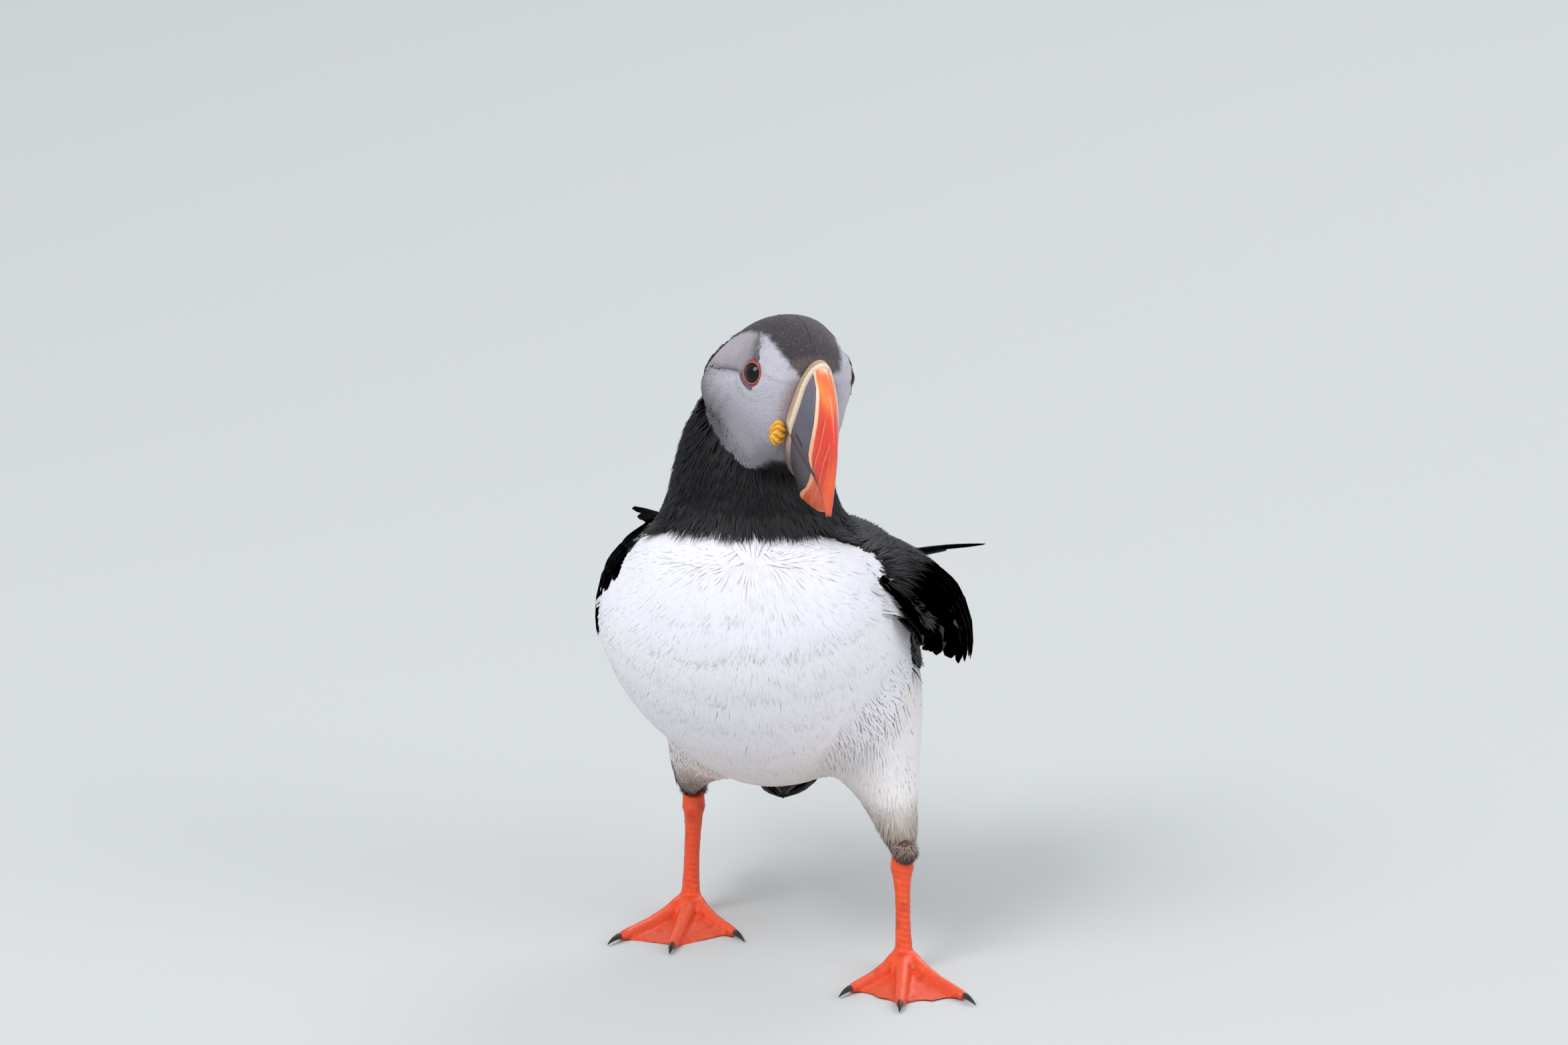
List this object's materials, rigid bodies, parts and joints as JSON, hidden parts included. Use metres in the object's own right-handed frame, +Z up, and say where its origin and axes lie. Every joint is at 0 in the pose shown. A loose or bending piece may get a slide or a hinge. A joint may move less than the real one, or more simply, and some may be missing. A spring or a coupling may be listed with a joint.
{
  "type": "puffin",
  "caption": "Life-size standing puffin: deep triangular bill, pale face, black collar and wings, white breast, webbed feet, wings half lifted. A still museum-style model.",
  "frame": {"origin": "middle of the bounding box's base, on the floor between the feet", "axes": "+Z up; the bird faces -Y; +X is the bird's left side"},
  "size_m": [0.1148, 0.182, 0.1923],
  "materials": {
    "white_plumage": "soft white breast feathers",
    "dark_plumage": "black-brown feathers, slightly silky",
    "face": "short pale grey face feathers",
    "leg": "scaly orange-red skin",
    "claw": "dark horn",
    "bill": "satin orange-red horn with a slate base",
    "cere": "cream skin with fine dots",
    "rosette": "wrinkled yellow-orange skin",
    "eye": "wet, nearly black",
    "eye_ring": "bare red skin",
    "eye_plate": "slate-blue horn"
  },
  "bodies": {
    "root": {"head": "face", "neck": "dark_plumage", "trunk": "white_plumage", "tail": "dark_plumage", "thigh_left": "white_plumage", "thigh_right": "white_plumage", "tarsus_left": "leg", "tarsus_right": "leg", "foot_left": "leg", "foot_right": "leg", "claw_inner_left": "claw", "claw_middle_left": "claw", "claw_outer_left": "claw", "claw_inner_right": "claw", "claw_middle_right": "claw", "claw_outer_right": "claw", "wing_left": "dark_plumage", "wing_right": "dark_plumage", "bill_upper": "bill", "bill_lower": "bill", "cere": "cere", "rosette_left": "rosette", "rosette_right": "rosette", "eye_left": "eye", "eye_right": "eye", "eye_ring_left": "eye_ring", "eye_ring_right": "eye_ring", "eye_plate_left": "eye_plate", "eye_plate_right": "eye_plate"}
  },
  "joints": []
}
